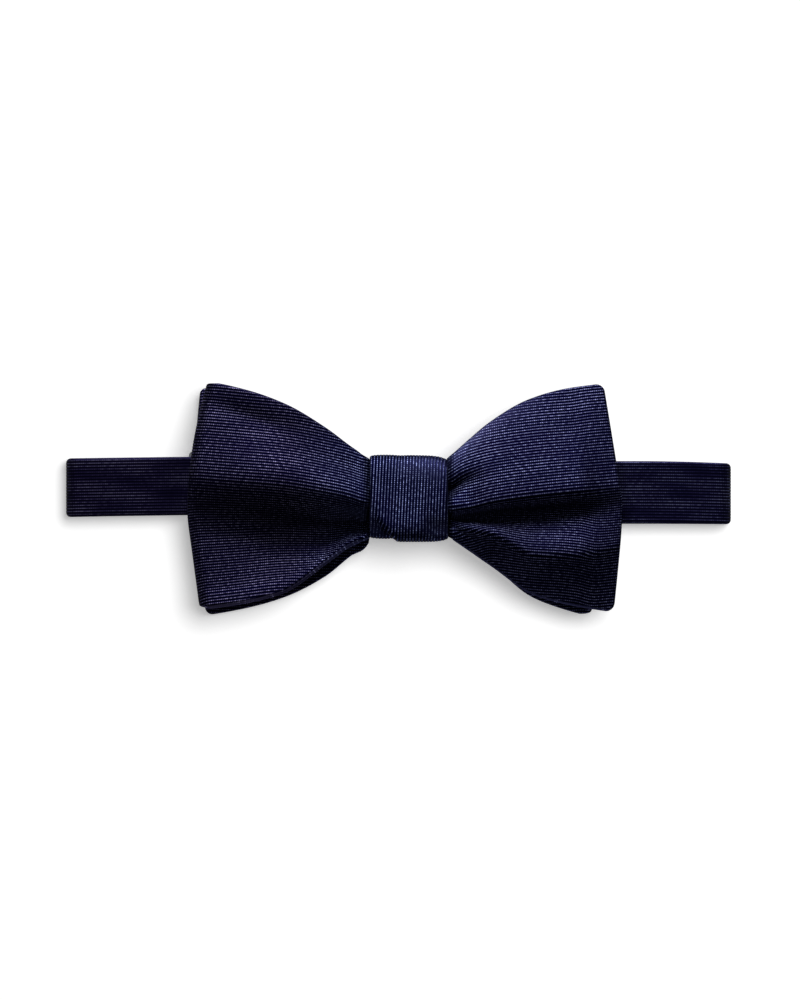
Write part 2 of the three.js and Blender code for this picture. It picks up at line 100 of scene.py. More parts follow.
def ply_of(folds, names, rows, between=None):
    """A ply of cloth from a table of sections, each a curve from the bottom edge to the top edge. The
    fold lines in between lie between two others, at a share of the way in y and another in z."""
    between = between or {}
    table = {name: [row[i] for row in rows] for i, name in enumerate(names.split())}
    curves = {name: curve_through(table["x"], table[name]) for name in table if name != "x"}

    def section(x):
        lines = {}
        for fold in folds:
            if fold not in between:
                lines[fold] = [float(curves[fold + axis](x)) for axis in ("_y", "_z")]
        for fold, (lower, upper, y_share, z_share) in between.items():
            low_y, low_z = lines[lower]
            high_y, high_z = lines[upper]
            lines[fold] = [mix(low_y, high_y, y_share), mix(low_z, high_z, z_share)]
        y, z = zip(*[lines[fold] for fold in folds])
        at = list(folds.values())
        return curve_through(at, y)(shares), curve_through(at, z)(shares)

    return section


def root_of(end):
    return knot_left if end["tip_x"] < 0 else knot_right


def bent_x(x, y, end):
    """A straight section is bent towards the shape of its wing's end, the more the further out it is."""
    off = (np.hypot(y - end["bulge_y"], bulge_round) - bulge_round) / half_blade
    above, below = (inset * off**power for inset, power in (end["above"], end["below"]))
    outwards = max(0.0, (x - root_of(end)) / (end["tip_x"] - root_of(end)))
    return x - math.copysign(1, end["tip_x"]) * np.where(y > end["bulge_y"], above, below) * outwards


def wing_stations(end, to, spacing):
    """Places along a wing from the knot to the place given, closer together near the knot."""
    root = root_of(end)
    first = root + math.copysign(flare, end["tip_x"])
    count = int(abs(to - first) / spacing)
    spread = np.linspace(0, 1, count + 1)
    spread = 0.55 * spread + 0.45 * spread**2
    neck = [mix(root, first, f) for f in (0, 0.35, 0.7)]
    return neck + [mix(first, to, f) for f in spread]


end_steps = (0, 0.08, 0.25, 0.5, 0.8, 1.2)  # sections next to an end, where the cloth rounds off


def blade_columns(face, rear, folds, blade_end, loop_end, spacing):
    """The middle surface of one blade as sections, from its finished end to the end of its rear ply, and
    how far each section is cut short at both edges to round the corners."""

    def face_section(x, end):
        y, z = face(x)
        points = np.stack([bent_x(x, y, end), y, z], 1)
        for fold in folds:
            fold(points)
        return points

    def rear_section(x):
        y, z = rear(x)
        return np.stack([bent_x(x, y, loop_end), y, z], 1)

    columns = []
    cuts = []
    corner = blade_end["corner"]
    inwards = -math.copysign(1, blade_end["tip_x"])
    for back in (*end_steps, 1.7, 2.4):
        columns.append(face_section(blade_end["tip_x"] + inwards * back, blade_end))
        left = max(0, 1 - back / corner)
        cuts.append(corner * (1 - math.sqrt(1 - left**2)))
    blade_from = blade_end["tip_x"] + inwards * 3.2
    for x in reversed(wing_stations(blade_end, blade_from, spacing)):
        columns.append(face_section(x, blade_end))
    for f in (0.2, 0.4, 0.6, 0.8):
        columns.append(face_section(mix(root_of(blade_end), root_of(loop_end), f), blade_end))
    outwards = math.copysign(1, loop_end["tip_x"])
    fold_x = loop_end["tip_x"] - outwards * (loop_end["fold_reach"] + cloth_thick / 2)
    for x in wing_stations(loop_end, fold_x, spacing):
        columns.append(face_section(x, loop_end))
    front = columns[-1]
    behind = rear_section(fold_x)
    for turn in np.linspace(0, math.pi, 12)[1:-1]:
        points = mix(front, behind, (1 - math.cos(turn)) / 2)
        points[:, 0] += outwards * loop_end["fold_reach"] * math.sin(turn)
        columns.append(points)
    rear_end = mix(knot_centre, loop_end["tip_x"], 0.06)  # inside the knot
    for x in reversed(wing_stations(loop_end, fold_x, 1.4 * spacing)):
        columns.append(rear_section(x))
    for back in reversed(end_steps):
        columns.append(rear_section(rear_end + outwards * back))
    cuts += [0] * (len(columns) - len(cuts))
    return np.array(columns), cuts


rib_pitch = 0.84
rows_a_rib = 4
rib_shape = np.array([1.0, 0.3, -1.0, 0.3])  # crest, side, gap, side
rim = np.array([0, 0.08, 0.25, 0.5, 0.8])  # rows next to an edge, where the cloth rounds off
rim_gap = 0.05  # the least room between the rim and the nearest rib
seam_width = 0.3


def rib_rows(distance, cut, middle, crowd_at, more_ribs):
    """The rows of vertices across one section: the rim at both edges, and the crest, sides and gap of each
    rib in between. Gives each row's distance from the bottom edge and its place counted in ribs, and the
    numbers of the first and the last row on a rib."""
    across = np.linspace(0, 1, len(distance))
    centre = np.interp(middle, across, distance)
    marks = [-1.0, centre, distance[-1] + 1]
    ribs_at_marks = [(mark - centre) / rib_pitch for mark in marks]
    if crowd_at is not None:
        fold_end = np.interp(crowd_at, across, distance)
        in_fold = (fold_end - centre) / rib_pitch - more_ribs
        marks.insert(1, fold_end)
        ribs_at_marks = [in_fold - (fold_end + 1) / rib_pitch, in_fold] + ribs_at_marks[1:]
    end = distance[-1] - cut
    first = math.ceil(rows_a_rib * np.interp(cut + rim[-1] + rim_gap, marks, ribs_at_marks))
    last = math.floor(rows_a_rib * np.interp(end - rim[-1] - rim_gap, marks, ribs_at_marks))
    cord_rows = np.interp(np.arange(first, last + 1) / rows_a_rib, ribs_at_marks, marks)
    rows = np.concatenate([cut + rim, cord_rows, end - rim[::-1]])
    return rows, np.interp(rows, marks, ribs_at_marks), first, last


def at_rows(rows, distance, values):
    return np.stack([np.interp(rows, distance, values[:, axis]) for axis in range(3)], 1)


def zipped(a, a_at, b, b_at):
    """Triangles between two rows of vertices that start and end together but differ in number."""
    triangles = []
    i = j = 0
    while i < len(a) - 1 or j < len(b) - 1:
        ahead = j == len(b) - 1 or (i < len(a) - 1 and a_at[i + 1] <= b_at[j + 1])
        if ahead:
            triangles.append((a[i], b[j], a[i + 1]))
            i += 1
        else:
            triangles.append((a[i], b[j], b[j + 1]))
            j += 1
    return triangles


def faces_between(one, other, side):
    """The faces between two neighbouring sections: quads along the rims and between the rows that both
    have, and triangles where one section has more rows than the other."""
    a, b = one[side], other[side]
    a_ribs, b_ribs = one["ribs"], other["ribs"]
    pad = len(rim)
    common_first = max(one["first"], other["first"])
    common_last = min(one["last"], other["last"])
    a_low, b_low = (pad + common_first - section["first"] for section in (one, other))
    a_high, b_high = (pad + common_last - section["first"] for section in (one, other))
    a_rim, b_rim = (len(row) - pad + 1 for row in (a, b))
    shift = b_low - a_low
    faces = [(a[k], b[k], b[k + 1], a[k + 1]) for k in range(pad - 1)]
    a_part, b_part = slice(pad - 1, a_low + 1), slice(pad - 1, b_low + 1)
    faces += zipped(a[a_part], a_ribs[a_part], b[b_part], b_ribs[b_part])
    faces += [(a[k], b[k + shift], b[k + shift + 1], a[k + 1]) for k in range(a_low, a_high)]
    a_part, b_part = slice(a_high, a_rim), slice(b_high, b_rim)
    faces += zipped(a[a_part], a_ribs[a_part], b[b_part], b_ribs[b_part])
    faces += [(a[k - 1], b[k - 1], b[k], a[k]) for k in range(-pad + 1, 0)]
    return faces


def ribbed_cloth(
    name, columns, middle, thick, relief, cuts=None, ring=False, under_relief=None, crowd=None, pressed_and_sheen=None
):
    """A closed sheet of cloth from sections of its middle surface, in millimetres. Its ribs run from
    section to section at constant distances from the line at the share middle, and are part of the mesh.
    Where a fold swallows cloth, crowd gives the share where the fold ends and how many ribs more each
    section has in it. The mesh carries how flat the ribs look at each point of the sections, from the
    values given and near every edge, which also paints a highlight along the edges and where the values put
    one.
    The UV map holds the distance along the ribs in millimetres and the distance across them in ribs."""
    count = len(columns)
    cuts = cuts or [0] * count
    middle = np.broadcast_to(middle, count)
    relief = np.broadcast_to(relief, count)
    under_relief = relief if under_relief is None else np.broadcast_to(under_relief, count)
    crowd_at, more_ribs = crowd or (None, [0] * count)

    if ring:
        along = np.roll(columns, -1, 0) - np.roll(columns, 1, 0)
    else:
        along = np.gradient(columns, axis=0)
    facing = np.cross(along, np.gradient(columns, axis=1))
    facing /= np.linalg.norm(facing, axis=2)[:, :, None]
    across = np.diff(columns, axis=1)
    if ring:
        across = across[:, :, :1]  # measured along x alone, which keeps the ribs straight round the knot
    distance = np.zeros(columns.shape[:2])
    distance[:, 1:] = np.cumsum(np.linalg.norm(across, axis=2), 1)
    centre_line = columns[:, int(middle[0] * (columns.shape[1] - 1))]
    steps = np.linalg.norm(np.diff(centre_line, axis=0), axis=1)
    path = np.concatenate([[0], np.cumsum(steps)])

    points = []
    uvs = []
    flats_and_sheen = []
    sections = []
    total = 0
    for i in range(count):
        rows, ribs, first, last = rib_rows(distance[i], cuts[i], middle[i], crowd_at, more_ribs[i])
        spot = at_rows(rows, distance[i], columns[i])
        normal = at_rows(rows, distance[i], facing[i])
        normal /= np.linalg.norm(normal, axis=1)[:, None]
        to_side = np.minimum(rows - cuts[i], distance[i, -1] - cuts[i] - rows)
        to_end = math.inf if ring else min(path[i], path[-1] - path[i])
        edge = np.minimum(to_side, to_end)
        half = thick / 2 * np.sqrt(1 - (1 - np.minimum(edge / (thick / 2), 1)) ** 2)
        crest = np.zeros(len(rows))
        crest[len(rim) : -len(rim)] = rib_shape[np.arange(first, last + 1) % rows_a_rib] / 2
        crest *= min(1, to_end / rim[-1])
        top = spot + normal * (half + crest * relief[i])[:, None]
        under = spot - normal * (half + crest * under_relief[i])[:, None]
        uv = np.stack([np.full(len(rows), path[i]), ribs], 1)
        # Near every edge the ribs look pressed flat into the seam, which also carries a painted highlight.
        flat_and_sheen = np.clip(1.5 - to_side / seam_width, 0, 1)
        if pressed_and_sheen is not None:
            flat_and_sheen = np.maximum(flat_and_sheen, np.interp(rows, distance[i], pressed_and_sheen[i]))

        # The top and the under side share their vertices along the hem.
        inside = edge > 1e-9
        top_index = total + np.arange(len(rows))
        under_index = top_index.copy()
        under_index[inside] = total + len(rows) + np.arange(inside.sum())
        total += len(rows) + int(inside.sum())
        points += [top, under[inside]]
        uvs += [uv, uv[inside]]
        flats_and_sheen += [flat_and_sheen, flat_and_sheen[inside]]
        sections.append({"top": top_index.tolist(), "under": under_index.tolist()})
        sections[-1].update({"ribs": ribs, "first": first, "last": last})

    faces = []
    neighbours = sections[1:] + (sections[:1] if ring else [])
    for one, other in zip(sections, neighbours):
        last_stretch = len(faces)
        faces += faces_between(one, other, "top")
        faces += [face[::-1] for face in faces_between(one, other, "under")]

    mesh = bpy.data.meshes.new(name)
    mesh.from_pydata((np.concatenate(points) * mm).tolist(), [], faces)
    corner_vertex = np.zeros(len(mesh.loops), np.int32)
    mesh.loops.foreach_get("vertex_index", corner_vertex)
    corner_uv = np.concatenate(uvs)[corner_vertex]
    if ring:
        once_round = path[-1] + np.linalg.norm(centre_line[0] - centre_line[-1])
        back_to_start = corner_uv[mesh.polygons[last_stretch].loop_start :, 0]
        back_to_start[back_to_start < once_round / 2] += once_round
    flat_and_sheen_layer = mesh.attributes.new("pressed_and_sheen", "FLOAT", "POINT")
    flat_and_sheen_layer.data.foreach_set("value", np.concatenate(flats_and_sheen).astype(np.float32))
    layer = mesh.uv_layers.new(name="ribs")
    layer.uv.foreach_set("vector", corner_uv.astype(np.float32).ravel())
    mesh.shade_smooth()
    mesh.validate()
    cloth = bpy.data.objects.new(name, mesh)
    bpy.context.scene.collection.objects.link(cloth)
    return cloth


def add_node(tree, kind, **settings):
    made = tree.nodes.new("ShaderNode" + kind)
    for key, value in settings.items():
        setattr(made, key, value)
    return made


def maths(tree, operation, *values):
    """The output of a Math node with its inputs linked or, where they are numbers, set."""
    made = add_node(tree, "Math", operation=operation)
    for socket, value in zip(made.inputs, values):
        if hasattr(value, "links"):
            tree.links.new(value, socket)
        else:
            socket.default_value = value
    return made.outputs[0]


def colour_ramp(tree, factor, stops):
    """A colour that runs through the stops, each a place and its colour, as the factor rises."""
    made = add_node(tree, "ValToRGB")
    elements = made.color_ramp.elements
    places = sorted(stops)
    elements[0].position = places[0]
    elements[1].position = places[-1]
    for place in places[1:-1]:
        elements.new(place)
    for element, place in zip(elements, places):
        element.color = (*stops[place], 1)
    tree.links.new(factor, made.inputs["Fac"])
    return made.outputs["Color"]


rib_shift = 37.13  # sets the pattern of each rib apart from its neighbours'
bead_turn = 10.5  # radians a millimetre
bead_share = 0.42
crest_end = 0.02  # in ribs off the crest
gap_start = 0.26
patch_rate = (0.06, 0.2, 0)  # along each millimetre, and across each rib
pressed_sheen_light = 0.48


def painted_rib_light(tree, patchy):
    """How light the woven silk is painted, from 0 in a gap, painted dark as the shade between ribs, to 1 on
    a bright crest, painted as a highlight, and its fine relief.
    """
    place = add_node(tree, "UVMap", uv_map="ribs")
    parts = add_node(tree, "SeparateXYZ")
    tree.links.new(place.outputs["UV"], parts.inputs[0])
    along, across = parts.outputs["X"], parts.outputs["Y"]

    # A painted sheen wanders along each rib, and the warp threads cross it as a row of fine beads, partly
    # real relief and partly painted highlights.
    rib = maths(tree, "ROUND", across)
    off_crest = maths(tree, "ABSOLUTE", maths(tree, "SUBTRACT", across, rib))
    own_place = maths(tree, "ADD", along, maths(tree, "MULTIPLY", rib, rib_shift))
    wander = add_node(tree, "TexNoise", noise_dimensions="1D")
    wander.inputs["Scale"].default_value = 0.9
    wander.inputs["Detail"].default_value = 2.0
    tree.links.new(own_place, wander.inputs["W"])
    sheen = maths(tree, "ADD", maths(tree, "MULTIPLY", wander.outputs["Fac"], 1.1), 0.25)
    threads = maths(tree, "COSINE", maths(tree, "MULTIPLY", own_place, bead_turn))
    bead = maths(tree, "ADD", 0.5, maths(tree, "MULTIPLY", threads, 0.5))
    in_gap = add_node(tree, "MapRange", interpolation_type="SMOOTHSTEP")
    in_gap.inputs["From Min"].default_value = crest_end
    in_gap.inputs["From Max"].default_value = gap_start
    tree.links.new(off_crest, in_gap.inputs["Value"])
    crown = maths(tree, "SUBTRACT", 1.0, in_gap.outputs["Result"])
    beaded = maths(tree, "ADD", 1 - bead_share, maths(tree, "MULTIPLY", bead, bead_share))
    woven = maths(tree, "MULTIPLY", maths(tree, "MULTIPLY", crown, sheen), beaded)

    # Handling leaves long patches a little brighter and duller.
    patch_place = add_node(tree, "VectorMath", operation="MULTIPLY")
    patch_place.inputs[1].default_value = patch_rate
    tree.links.new(place.outputs["UV"], patch_place.inputs[0])
    patches = add_node(tree, "TexNoise", noise_dimensions="2D")
    patches.inputs["Scale"].default_value = 1.0
    patches.inputs["Detail"].default_value = 1.0
    tree.links.new(patch_place.outputs["Vector"], patches.inputs["Vector"])
    handled = maths(tree, "ADD", maths(tree, "MULTIPLY", patches.outputs["Fac"], 2 * patchy), 1 - patchy)
    woven = maths(tree, "MULTIPLY", woven, handled)

    # Where the ribs look pressed flat, and where a highlight is painted, their gaps are about as light as
    # their sides.
    pressed_and_sheen = add_node(tree, "Attribute", attribute_name="pressed_and_sheen")
    in_pressed_sheen = maths(tree, "MULTIPLY", pressed_and_sheen.outputs["Fac"], pressed_sheen_light)
    return maths(tree, "MAXIMUM", woven, in_pressed_sheen), maths(tree, "MULTIPLY", crown, bead)


def silk_tone(tree):
    """The tone drifts from violet on the left to a clear blue at the knot, and a little back beyond it."""
    place = add_node(tree, "TexCoord")
    from_left = add_node(tree, "SeparateXYZ")
    tree.links.new(place.outputs["Object"], from_left.inputs[0])
    drift = add_node(tree, "MapRange")
    drift.inputs["From Min"].default_value = -0.03
    drift.inputs["From Max"].default_value = 0.03
    tree.links.new(from_left.outputs["X"], drift.inputs["Value"])
    violet, blue, right_blue = (0.61, 0.59, 0.65), (0.66, 0.83, 0.95), (0.68, 0.76, 0.87)
    return colour_ramp(tree, drift.outputs["Result"], {0: violet, 0.4: blue, 0.68: blue, 0.9: right_blue})


def ribbed_silk(name, gap, flank, side, crest, lustre, gloss, patchy):
    """Ribbed silk: heavy weft cords under fine warp threads, which show as a row of beads on each rib."""
    silk = bpy.data.materials.new(name)
    silk.use_nodes = True
    tree = silk.node_tree
    shader = tree.nodes["Principled BSDF"]
    shader.inputs["Metallic"].default_value = lustre
    shader.inputs["Roughness"].default_value = gloss
    shader.inputs["Specular IOR Level"].default_value = 0.1
    shader.inputs["Specular Tint"].default_value = (0.05, 0.05, 0.12, 1)

    light, height = painted_rib_light(tree, patchy)
    # The base colour paints the ribs' light and shade over the silk's own navy: painted shade in the gaps,
    # painted highlights on the crests.
    shade = colour_ramp(tree, light, {0: gap, 0.3: flank, 0.6: side, 0.9: crest})
    tint = add_node(tree, "Mix", data_type="RGBA", blend_type="MULTIPLY")
    tint.inputs["Factor"].default_value = 1.0
    tree.links.new(shade, tint.inputs["A"])
    tree.links.new(silk_tone(tree), tint.inputs["B"])
    tree.links.new(tint.outputs["Result"], shader.inputs["Base Color"])

    relief = add_node(tree, "Bump")
    relief.inputs["Strength"].default_value = 0.3
    relief.inputs["Distance"].default_value = 0.0001
    tree.links.new(height, relief.inputs["Height"])
    tree.links.new(relief.outputs["Normal"], shader.inputs["Normal"])
    return silk


lobe_folds = {
    "bottom": 0, "hem": 0.13, "low": 0.17, "valley": 0.33, "foot": 0.4, "brow": 0.55, "ridge": 0.58,
    "shoulder": 0.8, "top": 1,
}
lobe_between = {
    "hem": ("bottom", "low", 0.8, 0.72),
    "foot": ("valley", "ridge", 0.3, 0.12),
    "brow": ("valley", "ridge", 0.9, 0.95),
}
plain_folds = {"bottom": 0, "middle": 0.5, "top": 1}
front_face = ply_of(
    lobe_folds,
    "x bottom_y bottom_z low_y low_z valley_y valley_z ridge_y ridge_z shoulder_y shoulder_z top_y top_z",
    [
        (-59.6, -30.9, 13.5, -26.0, 12.5, -9.0, 11.4, 6.2, 14.8, 21.5, 12.9, 32.8, 11.3),
        (-46.4, -29.3, 13.8, -25.0, 12.7, -11.6, 10.8, 5.2, 17.0, 19.8, 14.2, 30.4, 12.7),
        (-33.7, -26.3, 13.0, -22.8, 12.1, -13.4, 10.4, 4.2, 18.4, 17.2, 14.9, 26.5, 13.2),
        (-20.9, -18.2, 12.5, -17.0, 11.9, -13.2, 10.7, 2.2, 18.6, 12.6, 14.7, 19.8, 12.8),
        (-13.6, -13.2, 12.3, -12.4, 12.1, -10.0, 11.0, 0.6, 18.4, 9.6, 14.8, 14.6, 12.8),
        (-10.5, -11.9, 12.1, -11.2, 12.1, -9.2, 11.2, -0.4, 18.3, 8.0, 15.1, 12.4, 13.0),
        (-9.05, -11.4, 11.9, -10.7, 12.0, -8.8, 11.2, -0.8, 18.1, 7.2, 15.2, 11.5, 13.2),
        (-8.35, -11.0, 11.6, -10.3, 11.8, -8.2, 11.2, -1.0, 15.5, 6.6, 13.2, 11.0, 11.2),
        (-8.0, -8.9, 11.5, -8.4, 11.7, -7.2, 11.2, -1.2, 15.2, 5.4, 13.4, 9.2, 11.5),
        (13.8, -9.2, 11.2, -6.8, 12.2, -5.2, 11.5, -3.0, 15.2, 4.6, 13.2, 7.8, 11.4),
        (14.15, -10.8, 11.3, -6.8, 12.8, -5.3, 11.5, -2.9, 15.5, 6.4, 13.5, 11.4, 11.4),
        (14.85, -11.2, 14.2, -8.2, 15.6, -5.4, 14.6, -2.8, 17.4, 7.4, 15.8, 11.9, 13.6),
        (20.0, -14.6, 12.8, -8.6, 15.5, -5.7, 14.1, -2.1, 18.0, 10.4, 15.4, 16.3, 12.8),
        (26.6, -19.1, 11.2, -9.9, 15.6, -6.0, 13.3, -0.5, 19.0, 13.4, 15.4, 21.4, 11.9),
        (38.7, -26.9, 10.6, -15.3, 15.6, -6.2, 13.4, 1.2, 19.4, 17.4, 15.3, 27.7, 11.5),
        (50.7, -30.0, 10.4, -15.4, 16.3, -4.8, 14.2, 2.4, 19.6, 19.8, 14.5, 30.8, 11.2),
        (57.0, -31.0, 10.5, -14.0, 16.1, -4.9, 15.5, 2.9, 17.9, 20.4, 14.3, 31.6, 10.9),
        (62.7, -31.8, 10.8, -12.6, 15.9, -3.4, 16.0, 3.4, 17.3, 21.0, 13.6, 32.2, 10.6),
    ],
    lobe_between,
)
front_rear = ply_of(
    plain_folds,
    "x bottom_y bottom_z middle_y middle_z top_y top_z",
    [
        (-59.2, -30.4, 6.4, 1.0, 9.2, 32.5, 6.4),
        (-46.4, -27.6, 6.2, 1.0, 8.8, 30.0, 6.2),
        (-33.7, -23.6, 6.6, 1.0, 8.5, 25.4, 6.4),
        (-20.9, -16.0, 7.6, 0.6, 8.9, 18.0, 7.6),
        (-8.35, -10.2, 9.0, 0, 9.5, 10.2, 9.0),
        (-8.0, -8.9, 9.4, 0, 9.5, 9.2, 9.4),
        (3.2, -9.3, 9.4, 0, 9.5, 9.3, 9.4),
    ],
)
# A wing's end is set back towards its corners: how far at each, and the power by which it gets there from
# the bulge. A finished end has rounded corners, and a loop's turn reaches out from where its plies end.
front_loop_end = {
    "tip_x": -59.1, "bulge_y": -4.6, "above": (4.95, 1.8), "below": (4.7, 0.9), "fold_reach": 2.6
}
front_blade_end = {
    "tip_x": 62.5, "bulge_y": -3.0, "above": (4.9, 1), "below": (2.75, 1.16), "corner": 2.6
}


def fold_line(start, end, lift, half_width, fades="out"):
    """A small fold or, where lift is negative, a hollow along a line. It fades out towards the end, or
    towards both ends."""
    start, end = np.array(start), np.array(end)
    length = np.linalg.norm(end - start)
    way = (end - start) / length

    def fold(points):
        from_start = points[:, :2] - start
        f = from_start @ way / length
        off = np.abs(from_start @ np.array([-way[1], way[0]]))
        if fades == "out":
            fade = np.clip(1 - f, 0, 1) ** 1.5 * ramp(f, -0.25, 0)
        else:
            fade = bump(2 * f - 1, 0.7)
        points[:, 2] += lift * bump(off, half_width) * fade

    return fold


def overhang(start, end, step, above, below):
    """The cloth above a line hangs over the cloth below it, in a pleat that flattens towards its start."""
    start, end = np.array(start), np.array(end)
    length = np.linalg.norm(end - start)
    way = (end - start) / length

    def fold(points):
        from_start = points[:, :2] - start
        f = from_start @ way / length
        off = from_start @ np.array([-way[1], way[0]])  # positive above the line
        fade = ramp(f, 0, 0.6) * (1 - ramp(f, 1.0, 1.1))
        reach = np.where(off > 0, above, below)
        points[:, 2] += step * np.tanh(off / 0.35) * np.exp(-((off / reach) ** 2)) * fade

    return fold


lip = 0.35


def lower_lip(points):
    """The turned seam of the lower edge stands up a little."""
    points[:, 2] += lip * np.clip(1 - (points[:, 1] - points[0, 1]) / lip, 0, 1)


front_folds = [
    fold_line((knot_right, 1.8), (24.0, 7.6), -3.4, 1.8),
    fold_line((knot_right, -1.8), (25.0, -3.0), 0.6, 1.8),
    fold_line((knot_right, -7.4), (26.0, -12.5), -1.0, 0.9),
    fold_line((-9.0, 6.5), (-29.0, 13.0), -0.35, 2.4),
    fold_line((-10.0, 12.5), (-26.0, 14.0), 0.3, 2.2),
    fold_line((-57.0, 27.8), (-24.0, 16.8), -0.8, 3.0, fades="both"),
    fold_line((-50.0, 21.5), (-24.0, 12.8), -0.3, 4.5, fades="both"),
    overhang((-23.0, -4.2), (-9.0, -6.6), 0.4, 6.0, 2.0),
    lower_lip,
]
front_columns, front_cuts = blade_columns(
    front_face, front_rear, front_folds, front_blade_end, front_loop_end, 1.0
)
in_knot_by = 0.2


def rib_relief(columns, relief):
    """The height of the ribs at each section: none inside the knot, which squeezes them flat."""
    x = columns[:, 0, 0]
    in_knot = (x > knot_left - in_knot_by) & (x < knot_right + in_knot_by)
    return np.where(in_knot, 0.0, relief)


# The long hollow swallows ribs, most of them at the knot.
front_x = front_columns[:, 0, 0]
right_ribs = 10 * (1 - ramp(front_x, 0, 75)) + 3 * ramp(front_x, 48, 62)
left_ribs = 8 * (1 - ramp(-front_x, 0, 72))
swallowed_ribs = np.where(front_x > 0, right_ribs, left_ribs)
loop_turn = int(np.argmin(front_x))
swallowed_ribs[loop_turn:] = 0
# A highlight is painted where the right wing is taut at the knot, as if its ribs were pressed flat, and the
# lower seam looks pressed flat with a painted highlight along it.
from_top = front_columns[:, -1:, 1] - front_columns[:, :, 1]
from_bottom = front_columns[:, :, 1] - front_columns[:, :1, 1]
at_x = front_columns[:, :, 0]
neck_sheen = 0.85 * bump(from_top, 3.4) * ramp(at_x, 12, 14) * (1 - ramp(at_x, 20, 46))
seam_flatness_and_sheen = 0.5 + 0.8 * ramp(np.abs(at_x - knot_centre), 20, 44)
lower_seam_and_sheen = (1 - ramp(from_bottom, 0.05, 0.42)) * seam_flatness_and_sheen
front_pressed_and_sheen = np.maximum(neck_sheen, lower_seam_and_sheen)
front_pressed_and_sheen[loop_turn:] = 0
# Its base colours are painted light and shade: near-black painted shade in the rib gaps, pale painted
# highlights on the crests.
bow_silk = ribbed_silk(
    "bow_silk",
    gap=(0.00015, 0.00015, 0.007),
    flank=(0.0116, 0.0099, 0.0334),
    side=(0.056, 0.052, 0.102),
    crest=(0.3, 0.285, 0.465),
    lustre=0.85,
    gloss=0.55,
    patchy=0.25,
)
front_bow = ribbed_cloth(
    "front_bow_silk",
    front_columns,
    lobe_folds["ridge"],
    cloth_thick,
    rib_relief(front_columns, 0.1),
    cuts=front_cuts,
    crowd=(lobe_folds["low"], swallowed_ribs),
    pressed_and_sheen=front_pressed_and_sheen,
)
front_bow.data.materials.append(bow_silk)
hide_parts("front_bow")
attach(front_bow, "root")

# back_bow
# The bow's back layer: a second blade of the same silk behind the first, the other way round. Its
# finished end is the left wing, and its loop is the right wing. Only its edges show from the front.
back_face = ply_of(
    plain_folds,
    "x bottom_y bottom_z middle_y middle_z top_y top_z",
    [
        (-58.2, -32.8, 4.0, 0.5, 7.4, 31.3, 4.2),
        (-46.4, -31.0, 4.0, 0.5, 7.0, 29.0, 4.2),
        (-33.7, -27.8, 4.4, 0.5, 6.6, 24.6, 4.6),
        (-20.9, -21.8, 5.4, 0.5, 6.6, 18.0, 5.4),
        (-13.6, -16.2, 6.2, 0.2, 7.0, 13.8, 6.2),
        (-8.35, -12.5, 6.8, 0, 7.5, 10.4, 6.8),
        (-8.0, -8.9, 7.2, 0, 7.6, 9.4, 7.2),
        (13.8, -9.4, 7.2, 0, 7.8, 8.2, 7.2),
        (14.15, -9.9, 7.2, 0, 8.0, 9.9, 7.2),
        (20.0, -12.9, 7.6, -0.2, 9.3, 14.2, 7.5),
        (26.6, -18.4, 8.0, -0.5, 10.6, 20.2, 7.8),
        (38.7, -27.4, 8.4, -0.5, 11.8, 26.9, 7.6),
        (47.5, -30.5, 8.6, 0, 12.0, 29.0, 7.6),
        (57.4, -32.8, 8.8, 0.5, 11.8, 30.2, 7.8),
    ],
)
back_rear = ply_of(
    plain_folds,
    "x bottom_y bottom_z middle_y middle_z top_y top_z",
    [
        (3.2, -9.3, 5.6, 0, 5.6, 9.3, 5.6),
        (13.8, -9.3, 5.6, 0, 5.6, 8.2, 5.6),
        (14.15, -9.9, 5.6, 0, 5.7, 9.9, 5.6),
        (20.0, -12.7, 5.4, 0.2, 6.0, 14.0, 5.4),
        (26.6, -18.0, 5.2, 0.5, 6.3, 20.0, 5.2),
        (38.7, -26.2, 4.4, 0.5, 6.6, 26.6, 4.4),
        (47.5, -29.8, 4.2, 0.5, 6.9, 28.8, 4.2),
        (57.4, -31.6, 4.6, 0.5, 7.4, 30.0, 4.6),
    ],
)
back_blade_end = {"tip_x": -57.8, "bulge_y": 4.5, "above": (2.8, 1), "below": (3.2, 1.9), "corner": 2.0}
back_loop_end = {"tip_x": 58.0, "bulge_y": 0.0, "above": (3.3, 2), "below": (4.9, 2), "fold_reach": 2.4}
back_columns, back_cuts = blade_columns(back_face, back_rear, [], back_blade_end, back_loop_end, 1.3)
back_bow = ribbed_cloth(
    "back_bow_silk",
    back_columns,
    plain_folds["middle"],
    cloth_thick,
    rib_relief(back_columns, 0.12),
    cuts=back_cuts,
)
back_bow.data.materials.append(bow_silk)
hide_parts("back_bow")
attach(back_bow, "root")

# knot_band
# The knot: a short band of the same silk, wrapped round the gathered middle of both layers and the strap
# and sewn closed behind. Its ribs run round it, and it has a pleat low on its left side.
knot_height = 24.5
knot_centre_y = 0.1
knot_front_z = 18.8
knot_waist_z = 8.6
knot_back_z = 1.5
front_roundness = 7.0
back_roundness = 6.0
front_lean = 0.38  # the front is fullest below its middle
lean_scale = 1 + 0.56 * front_lean  # holds its fullest part near knot_front_z
top_fall = 0.4  # the upper edge falls towards its right end
corner_fall = 1.12
tuck = {"x": -0.8, "slope": 0.9, "depth": 0.5, "half_width": 1.3, "step": 0.9}
dimple = {"x": 0.6, "depth": 0.45, "half_width": 1.6}
low_corners = {"from_x": 5.0, "to_x": 11.0, "depth": 2.0, "rise": 0.6}
edge_roll = 0.035
rib_lean = 0.026
top_sheen_strength = 0.62
shaded_corner_flatness = 0.7
sections_around = 120
knot_x = mix(knot_left, knot_right, shares)
half_y = (knot_height - cloth_thick) / 2


